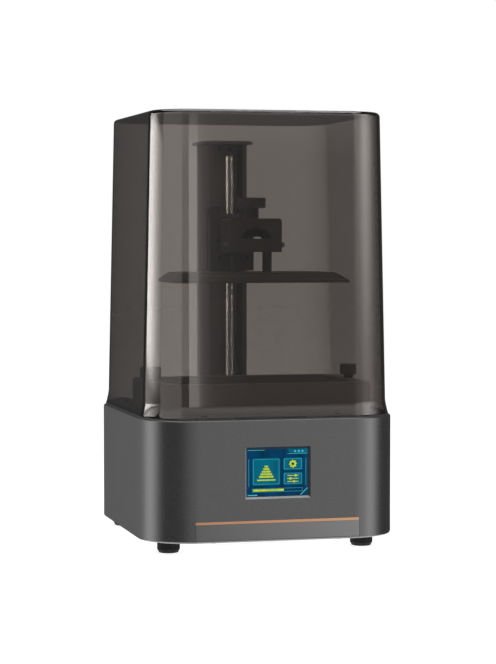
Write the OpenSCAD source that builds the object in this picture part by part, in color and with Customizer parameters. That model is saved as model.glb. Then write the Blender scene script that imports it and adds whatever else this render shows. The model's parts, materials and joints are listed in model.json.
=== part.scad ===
// Desktop resin printer: a rounded base with a colour touch screen, a tall smoked hood that
// lifts off, and inside it a screw-driven Z axis, a build platform, a resin vat and the UV unit.
// Z = 0 is the surface it stands on, the front faces -Y, and X = 0 and Y = 0 are its middle planes.

/* [Base] */
// Width of the base, left to right
body_w = 229; // [222:1:240]
// Depth of the base, front to back
body_d = 243; // [238:1:256]
// Corner radius of the base, seen from above
corner_r = 46; // [40:1:50]
// Height of the base's top rim above the table
body_top = 117.5; // [116:0.5:122]
// Height of the rubber feet
feet_h = 12; // [10:0.5:14]
// Wall thickness of the moulded base
shell_wall = 2.5; // [2:0.1:3.5]
// Radius of the base's top and bottom edges
edge_r = 1.8; // [1:0.1:3]

/* [Hood] */
// Overall height with the hood on
overall_h = 384; // [380:1:390]
// How far the hood's top edge stands in from the base's side
hood_inset = 10.2; // [8:0.1:12]
// Draft of the hood's walls, in degrees
hood_draft = 1.25; // [0.5:0.05:1.4]
// Wall thickness of the hood
hood_wall = 2.5; // [2:0.1:3.5]
// Radius of the hood's top edge
hood_round = 4; // [3:0.5:6]
// Height over which the hood's foot flares out
flare_h = 12.5; // [8:0.5:14]
// How far the hood's rim stands in from the base's side
rim_inset = 2; // [1.5:0.1:3]

/* [Screen and front strip] */
// Width of the display's picture
view_w = 55; // [50:0.1:60]
// Height of the display's picture
view_h = 41.4; // [38:0.1:45]
// Height of the display's centre above the table
view_z = 71.5; // [68:0.5:76]
// Width of the strip along the bottom of the front
strip_w = 146; // [120:1:150]
// Top of the front strip, with its accent line
strip_top = 30.4; // [26:0.1:34]
// Height of the accent line
accent_h = 2.2; // [1.5:0.1:4]

/* [Z axis] */
// Width of the column
column_w = 36; // [34:0.5:38]
// Depth of the column
column_d = 48; // [44:1:50]
// Front edge of the column, behind the middle plane
column_front = 56; // [55.9:0.1:56.2]
// Top of the column
column_top = 361; // [355:1:366]
// Diameter of the lead screw
screw_d = 8; // [6:1:8]
// Where the lead screw stands, behind the middle plane
screw_y = 52; // [51.5:0.1:52.5]

/* [Platform and vat] */
// Width of the build platform
plate_w = 158; // [150:1:160]
// Depth of the build platform
plate_d = 87; // [80:1:90]
// Underside of the build platform, where it is parked
plate_z = 234; // [230:1:236]
// Centre of the platform and the vat, in front of the middle plane
plate_y = -29; // [-30:0.5:-28]
// Outer width of the vat
vat_w = 194; // [190:1:196]
// Outer depth of the vat
vat_d = 122; // [118:1:124]
// Top rim of the vat
vat_top = 146; // [142:1:150]

/* [Hidden] */
$fn = 96;
gap = 0.3;
inner = 1;          // how far a cut runs past the face that it opens
corner_x = body_w/2 - corner_r;
corner_y = body_d/2 - corner_r;
front_y = -body_d/2;
rear_y = body_d/2;
ledge_h = 2.5;      // thickness of the base's top ledge, and of the deck that lies in it
ledge_in = 28;      // the ledge's inner edge, as an offset from the corner centres
lip_in = 20;        // the deck's support lip, the same way
deck_z = body_top - ledge_h;
wall_in = corner_r - shell_wall;
seal_h = 1;
hood_z = body_top + seal_h;
rim_r = corner_r - rim_inset;
flare_z = hood_z + flare_h;
crown_z = overall_h - hood_round;
crown_r = corner_r - hood_inset;
flare_r = crown_r + (crown_z - flare_z)*tan(hood_draft);
foot_r = 10;
foot_x = 88;
foot_front = -81;
foot_rear_x = 91;
foot_rear = 101;
plate_t = 1.5;      // the steel bottom plate
web_y = column_front + 21;
column_wall = 4;
rail_t = 6;
rail_w = 25.4;
carriage_top = 303;
carriage_low = plate_z + 9;
block_front = -47;  // the platform's clamp block, front and back
block_back = -11;
block_w = 47.2;
mount_z = 261;
block_z = 272.8;    // where the clamp block stands on the lower bar
block_top = 291;
ball_r = 14;
ball_z = 268.4;
ball_low = 274.6;   // the ball's flat underside, clear of the bar below it
ball_high = 281.6;
arch_r = 15;
arch_z = 268;
neck_w = 9.2;
neck_z = 263;
flange_y = 38;      // front of the arm's flange, which is screwed to the carriage
knob_stud_r = 3;
fit = 0.05;         // radial clearance of what turns or slides
post_x = 14.7;
glass_top = body_top - 0.2;
lcd_top = glass_top - 1.1;
light_w = 172;
light_d = 104;
light_top = lcd_top - 2;
light_low = 46;
ear_x = 92;         // the vat's thumb screws
motor_top = 92;
motor_side = 42.3;
hole_pitch = 31;    // between the motor's screws
fan_x = 43;
fan_z = 62;
fan_side = 50;
fan_t = 15;
fan_back = rear_y - shell_wall;
panel_depth = 3;    // the rear panel's pocket
panel_y = rear_y - panel_depth;
panel_x0 = -62;
panel_x1 = 4;
panel_z0 = 22;
panel_z1 = 47;
inlet_x = -50;
usb_x = -30;
switch_x = -9;
panel_mid = 34.5;
board_z = 20;

// Points of an arc in a profile, from angle a0 to angle a1
function arc(x, y, r, a0, a1, steps = 6) =
    [for (i = [0:steps]) [x + r*cos(a0 + (a1 - a0)*i/steps), y + r*sin(a0 + (a1 - a0)*i/steps)]];

// A profile swept once round the rounded plan of the base: its x counts from the corner centres
module ring_sweep() {
    for (k = [0:3]) {
        half = k % 2 == 0 ? corner_y : corner_x;
        off = k % 2 == 0 ? corner_x : corner_y;
        rotate([0, 0, 90*k]) {
            translate([off, half, 0]) rotate_extrude(angle = 90) children();
            translate([off, half, 0]) rotate([90, 0, 0]) linear_extrude(2*half) children();
        }
    }
}

// A flat plate on the same plan, r out from the corner centres
module plan_slab(r, z0, z1) {
    translate([0, 0, z0]) rounded_block(2*(corner_x + r), 2*(corner_y + r), z1 - z0, r);
}

module rounded_block(w, d, h, r) {
    linear_extrude(h) union() {
        square([w - 2*r, d], center = true);
        square([w, d - 2*r], center = true);
        for (sx = [-1, 1], sy = [-1, 1]) translate([sx*(w/2 - r), sy*(d/2 - r)]) circle(r);
    }
}

module centred_box(w, d, z0, z1) {
    translate([-w/2, -d/2, z0]) cube([w, d, z1 - z0]);
}

module rod(r, z0, z1) {
    translate([0, 0, z0]) cylinder(r = r, h = z1 - z0);
}

// A block whose four sides slope: w by d at z0, less by inset on each side at z1
module sloped_block(w, d, z0, z1, inset) {
    intersection() {
        translate([0, d, 0]) rotate([90, 0, 0]) linear_extrude(2*d)
            polygon([[-w/2, z0], [w/2, z0], [w/2 - inset, z1], [-w/2 + inset, z1]]);
        translate([-w, 0, 0]) rotate([90, 0, 90]) linear_extrude(2*w)
            polygon([[-d/2, z0], [d/2, z0], [d/2 - inset, z1], [-d/2 + inset, z1]]);
    }
}

// A round-headed screw that points down, with its head's underside at z = 0 and a hexagon socket
module cap_screw(thread_r, head_r, head_h, length) {
    difference() {
        union() {
            rod(head_r, 0, head_h);
            rod(thread_r, -length, 0.01);
        }
        translate([0, 0, head_h*0.4]) cylinder(r = head_r*0.5, h = head_h, $fn = 6);
    }
}

// A thumb screw along Z: a knurled head on a neck, and the stud below it
module thumb_screw(head_r, head_z, head_top, neck_r, neck_z, stud_r, stud_z, flutes) {
    difference() {
        union() {
            rotate_extrude() polygon(concat([[0, head_z], [head_r - 0.8, head_z], [head_r, head_z + 0.8]],
                arc(head_r - 1, head_top - 1, 1, 0, 90, 3), [[0, head_top]]));
            rod(neck_r, neck_z, head_z + 0.01);
            rod(stud_r, stud_z, neck_z + 0.01);
        }
        for (i = [0:flutes - 1]) rotate([0, 0, 360*i/flutes])
            translate([head_r + 0.5, 0, head_z - inner]) cylinder(r = 1.1, h = head_top - head_z + 2*inner, $fn = 24);
    }
}

module feet_places() {
    for (s = [-1, 1]) {
        translate([s*foot_x, foot_front, 0]) children();
        translate([s*foot_rear_x, foot_rear, 0]) children();
    }
}

module pillar_places() {
    for (s = [-1, 1]) {
        translate([s*(body_w/2 - 7), -40, 0]) children();
        translate([s*(body_w/2 - 7), 48, 0]) children();
        translate([s*56, front_y + 7, 0]) children();
    }
}

module deck_screw_places() {
    for (s = [-1, 1]) {
        for (y = [46, 74]) translate([s*(corner_x + ledge_in - 4), y, 0]) children();
        for (t = [-1, 1]) translate([s*60, t*(corner_y + ledge_in - 4), 0]) children();
    }
}

module vat_ear_places() {
    for (s = [-1, 1]) translate([s*ear_x, plate_y, 0]) children();
}

module column_bolt_places() {
    for (sx = [-1, 1], sy = [-1, 1]) translate([sx*25, column_front + column_d/2 + 2 + sy*18, 0]) children();
}

module flange_screw_places() {
    for (s = [-1, 1]) {
        for (x = [8, 14]) translate([s*x, flange_y, 271]) rotate([90, 0, 0]) children();
        translate([s*13.2, flange_y, 255.7]) rotate([90, 0, 0]) children();
    }
}

module ring_screw_places() {
    for (x = [-60:30:60], s = [-1, 1]) translate([x, plate_y + s*52.2, body_top]) children();
}

module rail_screw_places() {
    for (s = [-1, 1], z = [357, 125.5]) translate([s*4.9, web_y - rail_t, z]) rotate([90, 0, 0]) children();
}

module motor_hole_places() {
    for (sx = [-1, 1], sy = [-1, 1]) translate([sx*hole_pitch/2, screw_y + sy*hole_pitch/2, 0]) children();
}

// ---- Base

module base_shell() {
    color("#58585a") difference() {
        union() {
            ring_sweep() polygon(concat([[wall_in, feet_h]],
                arc(corner_r - edge_r, feet_h + edge_r, edge_r, -90, 0, 4),
                arc(corner_r - edge_r, body_top - edge_r, edge_r, 0, 90, 4),
                [[ledge_in, body_top], [ledge_in, deck_z], [lip_in, deck_z],
                 [lip_in, deck_z - shell_wall], [wall_in, deck_z - shell_wall]]));
            // screw pillars for the bottom plate, against the wall
            pillar_places() rod(5, feet_h + plate_t, 40);
            // the wall behind the rear panel's pocket
            translate([panel_x0 - shell_wall, panel_y - shell_wall, panel_z0 - shell_wall])
                cube([panel_x1 - panel_x0 + 2*shell_wall, panel_depth + 1, panel_z1 - panel_z0 + 2*shell_wall]);
        }
        // window of the screen, with bevelled sides
        translate([0, front_y, view_z]) rotate([-90, 0, 0])
            sloped_block(view_w + 3.4, view_h + 3.4, -0.01, shell_wall + inner, 2.1);
        // shallow seat of the strip along the bottom
        translate([-strip_w/2 - 0.2, front_y - inner, feet_h + edge_r])
            cube([strip_w + 0.4, inner + 1, strip_top - feet_h - edge_r + 0.2]);
        // rear panel: pocket and the holes of the inlet, the data port and the switch
        translate([panel_x0, panel_y, panel_z0]) cube([panel_x1 - panel_x0, 10, panel_z1 - panel_z0]);
        translate([inlet_x, panel_y + inner, panel_mid]) rotate([90, 0, 0]) cylinder(r = 5.7, h = 6);
        translate([usb_x - 7.2, panel_y - 5, panel_mid - 3.6]) cube([14.4, 6, 7.2]);
        translate([switch_x - 6.6, panel_y - 5, panel_mid - 9.6]) cube([13.2, 6, 19.2]);
        // slots in front of the fan
        for (i = [-3:3]) translate([fan_x - 20, rear_y - 10, fan_z + 6*i - 1.6]) cube([40, 20, 3.2]);
        deck_screw_places() rod(1.6, deck_z - 2*shell_wall, deck_z + inner);
        vat_ear_places() rod(2.5 + fit, deck_z - 2*shell_wall, deck_z + inner);
        column_bolt_places() rod(2.2, deck_z - 2*shell_wall, deck_z + inner);
        pillar_places() rod(1.6, feet_h, 30);
    }
}

module bottom_plate() {
    color("#8c8f92") difference() {
        plan_slab(wall_in - gap, feet_h, feet_h + plate_t);
        feet_places() rod(2, feet_h - inner, feet_h + plate_t + inner);
        pillar_places() rod(1.7, feet_h - inner, feet_h + plate_t + inner);
        // air slots under the boards
        for (i = [-5:5]) translate([8*i - 1.5, -60, feet_h - inner]) cube([3, 44, plate_t + 2*inner]);
    }
}

module rubber_feet() {
    color("#1c1c1d") feet_places() difference() {
        rotate_extrude() polygon(concat([[0, 0]], arc(foot_r - 2.5, 1.5, 1.5, -90, 0, 4),
            [[foot_r, 3]], arc(foot_r - 1, feet_h - 1, 1, 0, 90, 3), [[0, feet_h]]));
        rod(5, -inner, 5);
        rod(1.9, 0, feet_h + inner);
    }
}

module foot_screws() {
    color("#9a9ca0") feet_places() translate([0, 0, 5]) mirror([0, 0, 1])
        cap_screw(1.6, 3.6, 2.2, feet_h - 5 + plate_t + 2);
}

module plate_screws() {
    color("#9a9ca0") pillar_places() translate([0, 0, feet_h]) mirror([0, 0, 1])
        cap_screw(1.5, 3, 1.6, 12);
}

module top_deck() {
    color("#3b3a39") difference() {
        plan_slab(ledge_in - gap, deck_z, body_top);
        // opening of the mask screen
        translate([0, plate_y, 0]) centred_box(light_w + 2, light_d + 2, deck_z - inner, body_top + inner);
        translate([0, screw_y, 0]) rod(12, deck_z - inner, body_top + inner);
        deck_screw_places() rod(1.7, deck_z - inner, body_top + inner);
        column_bolt_places() rod(2.2, deck_z - inner, body_top + inner);
        motor_hole_places() rod(1.7, deck_z - inner, body_top + inner);
        vat_ear_places() rod(2.5 + fit, deck_z - inner, body_top + inner);
    }
}

module deck_screws() {
    color("#26262a") {
        deck_screw_places() translate([0, 0, body_top]) cap_screw(1.5, 2.8, 1.4, 5);
        // the long ones reach down through the standoffs into the motor
        motor_hole_places() translate([0, 0, body_top]) cap_screw(1.2, 2.8, 1.4, 28);
    }
}

module strip_outline(x_half, z0, z1) {
    intersection() {
        plan_slab(corner_r, z0, z1);
        translate([-x_half, front_y - inner, z0]) cube([2*x_half, inner + 1, z1 - z0]);
    }
}

module strip_plate() {
    color("#808080") strip_outline(strip_w/2, feet_h + edge_r + 0.2, strip_top - accent_h);
}

module accent_line() {
    color("#d9824a") strip_outline(strip_w/2, strip_top - accent_h, strip_top);
}

// ---- Touch screen

module screen_bezel() {
    color("#1a1b1d") translate([0, front_y + shell_wall, view_z]) difference() {
        translate([-36, 0, -28]) cube([72, 1.6, 56]);
        translate([-view_w/2 - 0.3, -inner, -view_h/2 - 0.3]) cube([view_w + 0.6, 4, view_h + 0.6]);
    }
}

module touch_panel() {
    color("#0c3a58") translate([-view_w/2, front_y + shell_wall, view_z - view_h/2])
        cube([view_w, 1.6, view_h]);
}

module display_module() {
    color("#2c5a3a") translate([-34.5, front_y + shell_wall + 1.6, view_z - 26]) cube([69, 5.2, 52]);
}

// ---- UV light unit

module protective_glass() {
    color("#20262c") translate([0, plate_y, 0]) centred_box(light_w + 1, light_d + 1, lcd_top, glass_top);
}

module mask_lcd() {
    color("#101216") translate([0, plate_y, 0]) centred_box(light_w + 1, light_d + 1, light_top, lcd_top);
}

// Open box that carries the mask screen, on four legs from the bottom plate
module light_housing() {
    color("#232426") translate([0, plate_y, 0]) difference() {
        union() {
            centred_box(light_w, light_d, light_low, light_top);
            for (sx = [-1, 1], sy = [-1, 1]) translate([sx*(light_w/2 + 2), sy*40, 0])
                rod(4, feet_h + plate_t, light_low + 14);
        }
        centred_box(light_w - 5, light_d - 5, light_low - inner, light_top + inner);
    }
}

module lens_plate() {
    color("#cfd8dc") translate([0, plate_y, 0]) difference() {
        centred_box(light_w - 5, light_d - 5, 92, 95);
        for (x = [-60:30:60], y = [-30, 0, 30]) translate([x, y, 100]) sphere(7.5, $fn = 48);
    }
}

module led_board() {
    color("#e8e8e4") translate([0, plate_y, 0]) centred_box(light_w - 6, light_d - 6, light_low, light_low + 1.6);
}

module led_array() {
    color("#f3e7a0") translate([0, plate_y, 0]) for (x = [-60:30:60], y = [-30, 0, 30])
        translate([x, y, 0]) centred_box(5, 5, light_low + 1.6, light_low + 3.4);
}

module heatsink() {
    color("#b4b7ba") translate([0, plate_y, 0]) union() {
        centred_box(140, 80, light_low - 4, light_low);
        for (x = [-66:12:66]) translate([x, 0, 0]) centred_box(2, 80, light_low - 16, light_low - 3.9);
    }
}

module fan_frame() {
    color("#232425") translate([fan_x, fan_back, fan_z]) rotate([90, 0, 0]) difference() {
        union() {
            difference() {
                rounded_block(fan_side, fan_side, fan_t, 4);
                translate([0, 0, -inner]) cylinder(r = fan_side/2 - 1.5, h = fan_t + 2*inner);
            }
            // motor cup on three struts, at the inner face
            translate([0, 0, fan_t - 3]) cylinder(r = 10, h = 3);
            for (i = [0:2]) rotate([0, 0, 30 + 120*i]) translate([8, -1.2, fan_t - 3]) cube([16.5, 2.4, 3]);
        }
        for (sx = [-1, 1], sy = [-1, 1]) translate([sx*20.5, sy*20.5, -inner])
            cylinder(r = 2, h = fan_t + 2*inner);
        translate([0, 0, fan_t - 4]) cylinder(r = 1.5 + fit, h = 3);
    }
}

module fan_rotor() {
    color("#2c2d2f") translate([fan_x, fan_back - fan_t + 3.4, fan_z]) rotate([-90, 0, 0]) union() {
        cylinder(r = 10, h = 9);
        translate([0, 0, -2.2]) cylinder(r = 1.5, h = 2.6);
        for (i = [0:6]) rotate([0, 0, 360/7*i]) translate([9, 0, 1]) rotate([35, 0, 0])
            translate([0, -0.7, -1]) cube([12.5, 1.4, 8]);
    }
}

// ---- Electronics

module mainboard() {
    color("#1f4d33") difference() {
        translate([-60, 40, board_z]) cube([120, 56, 1.6]);
        for (sx = [-1, 1], y = [44, 92]) translate([sx*56, y, board_z - inner]) cylinder(r = 1.7, h = 4);
    }
}

module board_parts() {
    color("#2a2b2d") {
        translate([-14, 58, board_z + 1.6]) cube([22, 22, 2]);
        translate([22, 60, board_z + 1.6]) cube([14, 14, 2.4]);
        for (x = [-44, -34, -24]) translate([x, 50, board_z + 1.6]) cylinder(r = 4, h = 9);
        for (i = [0:4]) translate([-50 + 16*i, 86, board_z + 1.6]) cube([12, 6, 8]);
        translate([40, 46, board_z + 1.6]) cube([12, 12, 7]);
    }
}

module board_standoffs() {
    color("#c9a64f") for (sx = [-1, 1], y = [44, 92]) translate([sx*56, y, 0]) {
        translate([0, 0, feet_h + plate_t]) cylinder(r = 3, h = board_z - feet_h - plate_t, $fn = 6);
        rod(1.5, board_z - 0.01, board_z + 3);
    }
}

module power_inlet() {
    color("#161718") translate([inlet_x, panel_y, panel_mid]) rotate([90, 0, 0]) union() {
        difference() {
            union() {
                translate([0, 0, -1.2]) cylinder(r = 7, h = 1.2);
                cylinder(r = 5.6, h = 12);
            }
            translate([0, 0, -2]) cylinder(r = 3.2, h = 11);
        }
        translate([0, 0, -0.6]) cylinder(r = 1.05, h = 10);
    }
}

module usb_port() {
    color("#b9bcc0") translate([usb_x, panel_y, panel_mid]) {
        difference() {
            translate([-7, -13.5, -3.4]) cube([14, 13.5, 6.8]);
            translate([-6.3, -12.5, -2.7]) cube([12.6, 14, 5.4]);
        }
        translate([-5.5, -12.6, 0.2]) cube([11, 12, 1.8]);
    }
}

module switch_housing() {
    color("#151617") translate([switch_x, panel_y, panel_mid]) difference() {
        union() {
            translate([-7.5, 0, -10.5]) cube([15, 1.2, 21]);
            translate([-6.5, -14, -9.5]) cube([13, 14, 19]);
        }
        translate([-5.2, -8, -8.2]) cube([10.4, 12, 16.4]);
        translate([-6.2, -4.4, 0]) rotate([0, 90, 0]) cylinder(r = 1.2 + fit, h = 12.4);
    }
}

// Rocker, shown with its lower half pressed in
module power_rocker() {
    color("#b3221c") translate([switch_x, panel_y - 4.4, panel_mid]) rotate([8, 0, 0]) union() {
        rotate([0, 90, 0]) translate([0, 0, -4.9]) cylinder(r = 2.4, h = 9.8);
        rotate([0, 90, 0]) translate([0, 0, -6]) cylinder(r = 1.2, h = 12);
        translate([-4.9, 0, 0]) rotate([90, 0, 90]) linear_extrude(9.8)
            polygon([[0, -7.4], [4.6, -7.6], [4.0, 0], [4.6, 7.6], [0, 7.4]]);
    }
}

// ---- Z axis

module z_column() {
    color("#46423f") translate([0, column_front, 0]) difference() {
        translate([-column_w/2, 0, body_top + 4]) cube([column_w, column_d, column_top - body_top - 4]);
        // channel that faces the front, and the hollow behind the web
        translate([-column_w/2 + column_wall, -inner, 0])
            cube([column_w - 2*column_wall, web_y - column_front + inner, column_top + inner]);
        translate([-column_w/2 + column_wall, web_y - column_front + column_wall, 0])
            cube([column_w - 2*column_wall, column_d - 2*column_wall - web_y + column_front, column_top + inner]);
    }
}

module column_cap() {
    color("#4a4643") translate([0, 0, column_top]) linear_extrude(3)
        polygon([[-24, 58], [-13, 47], [13, 47], [24, 58], [24, 100], [18, 106], [-18, 106], [-24, 100]]);
}

module column_foot() {
    color("#3b3a39") difference() {
        translate([0, column_front + column_d/2 - 6, body_top]) rounded_block(64, 64, 4, 5);
        translate([0, screw_y, 0]) rod(12.5, body_top - inner, body_top + 6);
        column_bolt_places() rod(2.2, body_top - inner, body_top + 6);
        motor_hole_places() rod(3.4, body_top - inner, body_top + 6);
    }
}

module column_bolts() {
    color("#1f1f21") column_bolt_places() translate([0, 0, body_top + 4]) cap_screw(2, 3.5, 4, 10);
}

module guide_rail() {
    color("#8d8a86") translate([0, web_y - rail_t, 0]) difference() {
        translate([-rail_w/2, 0, body_top + 4]) cube([rail_w, rail_t, column_top - body_top - 6]);
        for (s = [-1, 1]) translate([s*rail_w/2, 3, body_top + 12]) rotate([0, 0, 45])
            translate([-0.9, -0.9, -20]) cube([1.8, 1.8, column_top - body_top + 20]);
        translate([0, rail_t - web_y, 0]) rail_screw_places() rod(1.25, -5.4, inner);
    }
}

module rail_screws() {
    color("#77736f") rail_screw_places() cap_screw(1.2, 2.2, 1.2, 5);
}

module guide_block() {
    color("#55524f") translate([-11, column_front + 2, carriage_low + 3])
        cube([22, web_y - rail_t - column_front - 2 - 0.1, 45]);
}

module z_motor() {
    color("#2b2b2d") translate([0, screw_y, 0]) difference() {
        union() {
            intersection() {
                centred_box(motor_side, motor_side, motor_top - 34, motor_top);
                rotate([0, 0, 45]) centred_box(54, 54, motor_top - 35, motor_top + 1);
            }
            rod(11, motor_top - 0.01, motor_top + 2);
        }
        rod(2.5 + fit, motor_top - 12, motor_top + 3);
        for (sx = [-1, 1], sy = [-1, 1]) translate([sx*hole_pitch/2, sy*hole_pitch/2, 0])
            rod(1.6, motor_top - 5, motor_top + 1);
    }
}

module motor_standoffs() {
    color("#a8abae") motor_hole_places() difference() {
        translate([0, 0, motor_top]) cylinder(r = 3.2, h = deck_z - motor_top, $fn = 6);
        rod(1.3, motor_top - inner, deck_z + inner);
    }
}

module shaft_coupler() {
    color("#b8bbbe") translate([0, screw_y, 0]) difference() {
        rod(9.5, 98, 122);
        rod(2.5 + 0.02, 97, 111);
        rod(screw_d/2 + 0.02, 110.99, 123);
        for (i = [0:2]) translate([-10, i % 2 == 0 ? -3 : -10, 104.5 + 5*i]) cube([20, 13, 0.8]);
    }
}

// Lead screw with its turned-down end, and the motor's shaft below the coupler
module lead_screw() {
    color("#a9a6a2") translate([0, screw_y, 0]) union() {
        rotate_extrude() polygon([[0, 111], [screw_d/2 - 0.8, 111], [screw_d/2, 111.8],
            [screw_d/2, 349.4], [screw_d/2 - 0.6, 350], [0, 350]]);
        rod(2.5, motor_top - 11, 111.01);
    }
}

module lead_nut() {
    color("#b08d4a") translate([0, screw_y, 0]) difference() {
        union() {
            rod(5.1, 278, 293.01);
            rod(9, 293, 296.5);
        }
        rod(screw_d/2 + fit, 277, 298);
        for (i = [0:3]) rotate([0, 0, 45 + 90*i]) translate([6.9, 0, 292]) cylinder(r = 1, h = 6, $fn = 24);
    }
}

module carriage() {
    color("#3a3633") difference() {
        union() {
            // back plate with two round top corners
            translate([0, column_front - 0.1, 0]) rotate([90, 0, 0]) linear_extrude(5.9) union() {
                translate([-21.5, carriage_low]) square([43, carriage_top - 4 - carriage_low]);
                translate([-17.5, carriage_low]) square([35, carriage_top - carriage_low]);
                for (s = [-1, 1]) translate([s*17.5, carriage_top - 4]) circle(4);
            }
            // front block with the ledge of the nut
            translate([-21, 42, carriage_low]) cube([42, 9, 293 - carriage_low]);
            // boss that carries the guide block
            translate([-11, 55, carriage_low + 3]) cube([22, column_front + 2 - 55, 293 - carriage_low - 3]);
        }
        translate([0, screw_y, 0]) {
            rod(5.2, carriage_low - inner, 294);
            rod(9.4, 293, carriage_top + inner);
        }
        flange_screw_places() rod(1.3, -8, 0);
    }
}

module carriage_screws() {
    color("#8b8783") flange_screw_places() cap_screw(1.2, 2, 1.4, 7);
}

module limit_sensor() {
    color("#1b1b1c") translate([0, column_front, 0]) difference() {
        translate([column_w/2, 20, 124]) cube([9, 14, 12]);
        translate([column_w/2 + 3, 19, 128]) cube([3.2, 12, 9]);
    }
}

module sensor_flag() {
    color("#8b8783") union() {
        translate([21.5, 51, carriage_low + 4]) cube([2, 4, 16]);
        translate([21.5, 51, carriage_low + 4]) cube([1.2, 30, 8]);
    }
}

// ---- Platform

// Arm of the platform: a flange on the carriage, a neck, and the tongue that holds the ball
module platform_arm() {
    color("#36322f") difference() {
        union() {
            translate([0, 42, 0]) rotate([90, 0, 0]) linear_extrude(42 - flange_y)
                polygon([[-15, 250], [15, 250], [17, 262], [17, 290], [-17, 290], [-17, 262]]);
            translate([-neck_w/2, block_back + 0.5, neck_z])
                cube([neck_w, flange_y - block_back - 0.4, 288 - neck_z]);
            translate([-neck_w/2, plate_y, ball_low]) cube([neck_w, block_back - plate_y + 1, 5]);
        }
        translate([0, plate_y, ball_z]) sphere(ball_r + 0.02);
        flange_screw_places() rod(1.3, -8, inner);
    }
}

module levelling_ball() {
    color("#211e1d") translate([0, plate_y, ball_z]) difference() {
        sphere(ball_r);
        translate([-20, -20, -20]) cube([40, 40, 20 + ball_low - ball_z]);
        translate([-20, -20, ball_high - ball_z]) cube([40, 40, 5]);
    }
}

// Block over the platform that the knob clamps on the ball, with an arch from front to back
module clamp_block() {
    color("#36322f") difference() {
        translate([0, block_back, 0]) rotate([90, 0, 0]) linear_extrude(block_back - block_front) union() {
            translate([-block_w/2, block_z]) square([block_w, block_top - 3 - block_z]);
            translate([-block_w/2 + 3, block_z]) square([block_w - 6, block_top - block_z]);
            for (s = [-1, 1]) translate([s*(block_w/2 - 3), block_top - 3]) circle(3);
        }
        translate([0, block_front - inner, arch_z]) rotate([-90, 0, 0])
            cylinder(r = arch_r, h = block_back - block_front + 2*inner);
        translate([0, plate_y, 0]) rod(knob_stud_r + fit, ball_z, block_top + inner);
    }
}

module platform_mount() {
    color("#3f3a37") difference() {
        translate([-block_w/2, block_front, mount_z])
            cube([block_w, block_back - block_front, block_z - mount_z]);
        for (s = [-1, 1]) translate([s*block_w/2 - s*6, -40, 267.5]) rotate([0, 90*s, 0]) cylinder(r = 1.6, h = 8);
    }
}

module side_screws() {
    color("#5c5854") for (s = [-1, 1]) translate([s*block_w/2, -40, 267.5]) rotate([0, 90*s, 0])
        cap_screw(1.5, 2.2, 4, 5);
}

module platform_posts() {
    color("#4a4541") for (s = [-1, 1]) translate([s*post_x, plate_y, 0]) rod(4.25, plate_z + 9, mount_z);
}

module build_platform() {
    color("#322e2c") translate([0, plate_y, 0]) union() {
        centred_box(plate_w, plate_d, plate_z, plate_z + 2.4);
        sloped_block(plate_w, plate_d, plate_z + 2.39, plate_z + 9, 10);
    }
}

module clamp_knob() {
    color("#262322") translate([0, plate_y, 0])
        thumb_screw(13, 300.4, 309.7, 6.7, block_top + fit, knob_stud_r, ball_high + fit, 24);
}

// ---- Vat

module vat_frame() {
    color("#2a2827") difference() {
        union() {
            translate([0, plate_y, body_top]) rounded_block(vat_w, vat_d, vat_top - body_top - 1.5, 14);
            translate([0, plate_y, vat_top - 1.51]) rounded_block(vat_w - 2, vat_d - 2, 1.51, 13);
        }
        // the pool, and below it the seat of the film's clamping ring
        translate([0, plate_y, body_top + 4]) rounded_block(166, 98, 40, 12);
        translate([0, plate_y, body_top - inner]) rounded_block(178, 112, inner + 4, 10);
        vat_ear_places() rod(2.5 + fit, body_top - inner, vat_top + inner);
        ring_screw_places() rod(1.3, 3, 9);
    }
}

module vat_film() {
    color([0.8, 0.85, 0.9, 0.5]) translate([0, plate_y, body_top]) rounded_block(176, 110, 0.2, 9);
}

module film_ring() {
    color("#a6a9ab") difference() {
        translate([0, plate_y, body_top + 0.2]) rounded_block(177, 111, 3.8, 9.5);
        translate([0, plate_y, body_top - inner]) rounded_block(166, 98, 6, 8);
        ring_screw_places() {
            rod(1.3, -inner, 5);
            rod(2.4, -inner, 1.8);
        }
    }
}

module ring_screws() {
    color("#2a2a2c") ring_screw_places() translate([0, 0, 1.8]) mirror([0, 0, 1]) cap_screw(1.2, 2.2, 1.4, 6);
}

module vat_knob(side) {
    color("#262322") translate([side*ear_x, plate_y, 0])
        thumb_screw(8, 149.2, 158.7, 4.6, vat_top + fit, 2.5, body_top - 6, 16);
}

module vat_knob_left() { vat_knob(-1); }
module vat_knob_right() { vat_knob(1); }

// ---- Hood

// Points of the flare's hollow curve, leaning out from the wall by "out" at the bottom
function flare(r, out, z0, h, steps = 8) =
    [for (i = [0:steps]) [r + out*pow(1 - i/steps, 2), z0 + h*i/steps]];

module hood_shell() {
    color([0.30, 0.28, 0.27, 0.6]) union() {
        ring_sweep() polygon(concat([[rim_r, hood_z]],
            flare(flare_r, rim_r - flare_r - 0.4, hood_z + 1, flare_h - 1),
            arc(crown_r - hood_round, crown_z, hood_round, 0, 90, 6),
            [[20, overall_h], [20, overall_h - hood_wall]],
            arc(crown_r - hood_round, crown_z, hood_round - hood_wall, 90, 0, 4),
            [[flare_r - hood_wall, flare_z]],
            [[rim_r - hood_wall - 1, hood_z]]));
        plan_slab(20.01, overall_h - hood_wall, overall_h);
    }
}

module hood_seal() {
    color("#141414") ring_sweep() polygon([[rim_r - 4.5, body_top], [rim_r - 0.8, body_top],
        [rim_r - 0.8, hood_z], [rim_r - 4.5, hood_z]]);
}

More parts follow.
